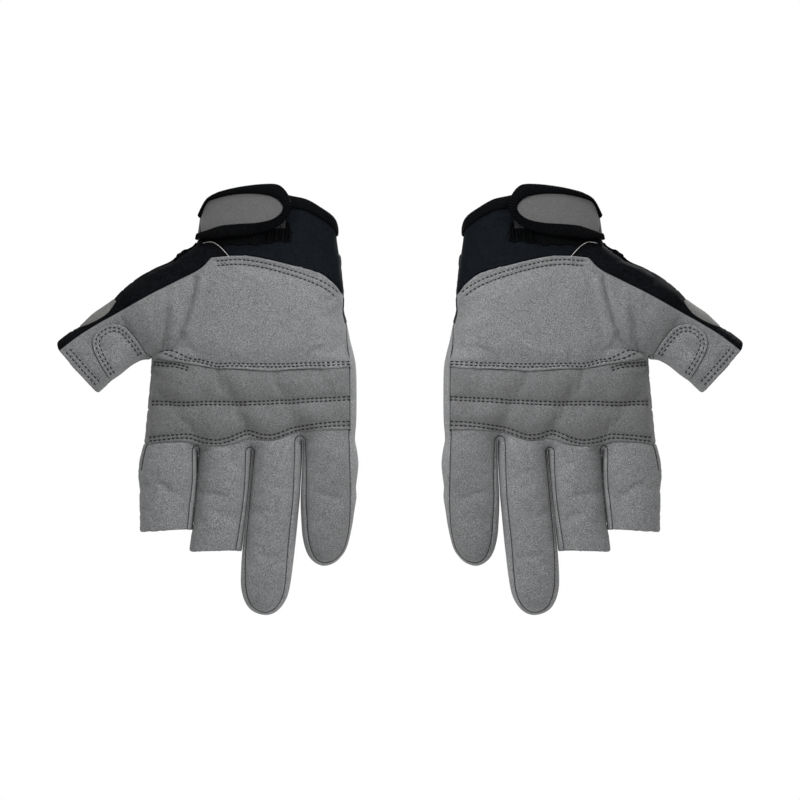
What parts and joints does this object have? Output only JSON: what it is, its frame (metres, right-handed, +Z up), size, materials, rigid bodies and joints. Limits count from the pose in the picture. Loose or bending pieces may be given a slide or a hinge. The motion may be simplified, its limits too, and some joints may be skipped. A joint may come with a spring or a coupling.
{
  "type": "sailing gloves",
  "caption": "Pair of palm-up suede sailing gloves with open thumb, first and second finger stalls, closed ring and little stalls, stretch backs and hook-and-loop wrist straps.",
  "frame": {"origin": "midway between the two gloves at the level of the cuff mouths, on the plane through the middle of the gloves' thickness at the fingers' joints", "axes": "+Z up from the fingertips to the cuffs, -Y out of the palms, +X from the right-hand glove to the left-hand glove"},
  "size_m": [0.3432, 0.039, 0.2153],
  "materials": {
    "grey_suede": "matte synthetic suede, fine even nap with faint light and dark patches",
    "strap_suede": "matte synthetic suede, a darker grey",
    "black_stretch": "four-way stretch knit, matte black",
    "black_neoprene": "fabric-faced neoprene, matte blue-black",
    "black_binding": "woven and ribbed binding tape, black",
    "hook_tape": "moulded hooks, satin black",
    "loop_tape": "brushed loops, matte black"
  },
  "bodies": {
    "right_hand": {"right_heel_palm_panel": "grey_suede", "right_palm_base_panel": "grey_suede", "right_palm_patch": "grey_suede", "right_back_panel": "black_stretch", "right_thenar_side_panel": "black_stretch", "right_little_side_gusset": "grey_suede", "right_cuff_sleeve": "black_neoprene", "right_cuff_binding": "black_binding", "right_loop_pad": "loop_tape", "right_wrist_elastic": "black_binding", "right_strap_anchor": "strap_suede"},
    "right_strap": {"right_strap_tab": "strap_suede", "right_strap_binding": "black_binding", "right_strap_hook_pad": "hook_tape"},
    "right_thumb": {"right_thumb_palm_panel": "grey_suede", "right_thumb_back_panel": "black_stretch", "right_thumb_patch": "grey_suede", "right_thumb_back_patch": "grey_suede"},
    "right_index": {"right_index_palm_panel": "grey_suede", "right_index_back_panel": "black_stretch", "right_index_gusset": "grey_suede"},
    "right_middle": {"right_middle_palm_panel": "grey_suede", "right_middle_back_panel": "black_stretch", "right_middle_gusset": "grey_suede"},
    "right_ring": {"right_ring_palm_panel": "grey_suede", "right_ring_back_panel": "black_stretch", "right_ring_gusset": "grey_suede"},
    "right_little": {"right_little_palm_panel": "grey_suede", "right_little_back_panel": "black_stretch", "right_little_gusset": "grey_suede"},
    "left_hand": {"left_heel_palm_panel": "grey_suede", "left_palm_base_panel": "grey_suede", "left_palm_patch": "grey_suede", "left_back_panel": "black_stretch", "left_thenar_side_panel": "black_stretch", "left_little_side_gusset": "grey_suede", "left_cuff_sleeve": "black_neoprene", "left_cuff_binding": "black_binding", "left_loop_pad": "loop_tape", "left_wrist_elastic": "black_binding", "left_strap_anchor": "strap_suede"},
    "left_strap": {"left_strap_tab": "strap_suede", "left_strap_binding": "black_binding", "left_strap_hook_pad": "hook_tape"},
    "left_thumb": {"left_thumb_palm_panel": "grey_suede", "left_thumb_back_panel": "black_stretch", "left_thumb_patch": "grey_suede", "left_thumb_back_patch": "grey_suede"},
    "left_index": {"left_index_palm_panel": "grey_suede", "left_index_back_panel": "black_stretch", "left_index_gusset": "grey_suede"},
    "left_middle": {"left_middle_palm_panel": "grey_suede", "left_middle_back_panel": "black_stretch", "left_middle_gusset": "grey_suede"},
    "left_ring": {"left_ring_palm_panel": "grey_suede", "left_ring_back_panel": "black_stretch", "left_ring_gusset": "grey_suede"},
    "left_little": {"left_little_palm_panel": "grey_suede", "left_little_back_panel": "black_stretch", "left_little_gusset": "grey_suede"}
  },
  "joints": [
    {"name": "left_glove_apart", "type": "slide", "parent": "right_hand", "child": "left_hand", "axis": [1, 0, 0], "range_m": [-0.03, 0.15]},
    {"name": "right_index_bend", "type": "hinge", "parent": "right_hand", "child": "right_index", "pos_m": [-0.1154, -0.00812, -0.1245], "axis": [-0.9976, 0, 0.0698], "range_deg": [0, 80]},
    {"name": "right_middle_bend", "type": "hinge", "parent": "right_hand", "child": "right_middle", "pos_m": [-0.0879, -0.00812, -0.1245], "axis": [-0.9973, 0, 0.0732], "range_deg": [0, 80]},
    {"name": "right_ring_bend", "type": "hinge", "parent": "right_hand", "child": "right_ring", "pos_m": [-0.0618, -0.00812, -0.1245], "axis": [-0.9971, 0, 0.0767], "range_deg": [0, 80]},
    {"name": "right_little_bend", "type": "hinge", "parent": "right_hand", "child": "right_little", "pos_m": [-0.0352, -0.00875, -0.12], "axis": [-1, 0, 0], "range_deg": [0, 80]},
    {"name": "right_thumb_bend", "type": "hinge", "parent": "right_hand", "child": "right_thumb", "pos_m": [-0.1378, -0.0106, -0.0699], "axis": [-0.6253, 0, 0.7804], "range_deg": [0, 60]},
    {"name": "right_strap_open", "type": "hinge", "parent": "right_hand", "child": "right_strap", "pos_m": [-0.10013, -0.00932, -0.01], "axis": [0, 0, -1], "range_deg": [0, 150]},
    {"name": "left_index_bend", "type": "hinge", "parent": "left_hand", "child": "left_index", "pos_m": [0.1154, -0.00812, -0.1245], "axis": [-0.9976, 0, -0.0698], "range_deg": [0, 80]},
    {"name": "left_middle_bend", "type": "hinge", "parent": "left_hand", "child": "left_middle", "pos_m": [0.0879, -0.00812, -0.1245], "axis": [-0.9973, 0, -0.0732], "range_deg": [0, 80]},
    {"name": "left_ring_bend", "type": "hinge", "parent": "left_hand", "child": "left_ring", "pos_m": [0.0618, -0.00812, -0.1245], "axis": [-0.9971, 0, -0.0767], "range_deg": [0, 80]},
    {"name": "left_little_bend", "type": "hinge", "parent": "left_hand", "child": "left_little", "pos_m": [0.0352, -0.00875, -0.12], "axis": [-1, 0, 0], "range_deg": [0, 80]},
    {"name": "left_thumb_bend", "type": "hinge", "parent": "left_hand", "child": "left_thumb", "pos_m": [0.1378, -0.0106, -0.0699], "axis": [-0.6253, 0, -0.7804], "range_deg": [0, 60]},
    {"name": "left_strap_open", "type": "hinge", "parent": "left_hand", "child": "left_strap", "pos_m": [0.10013, -0.00932, -0.01], "axis": [0, 0, 1], "range_deg": [0, 150]}
  ]
}
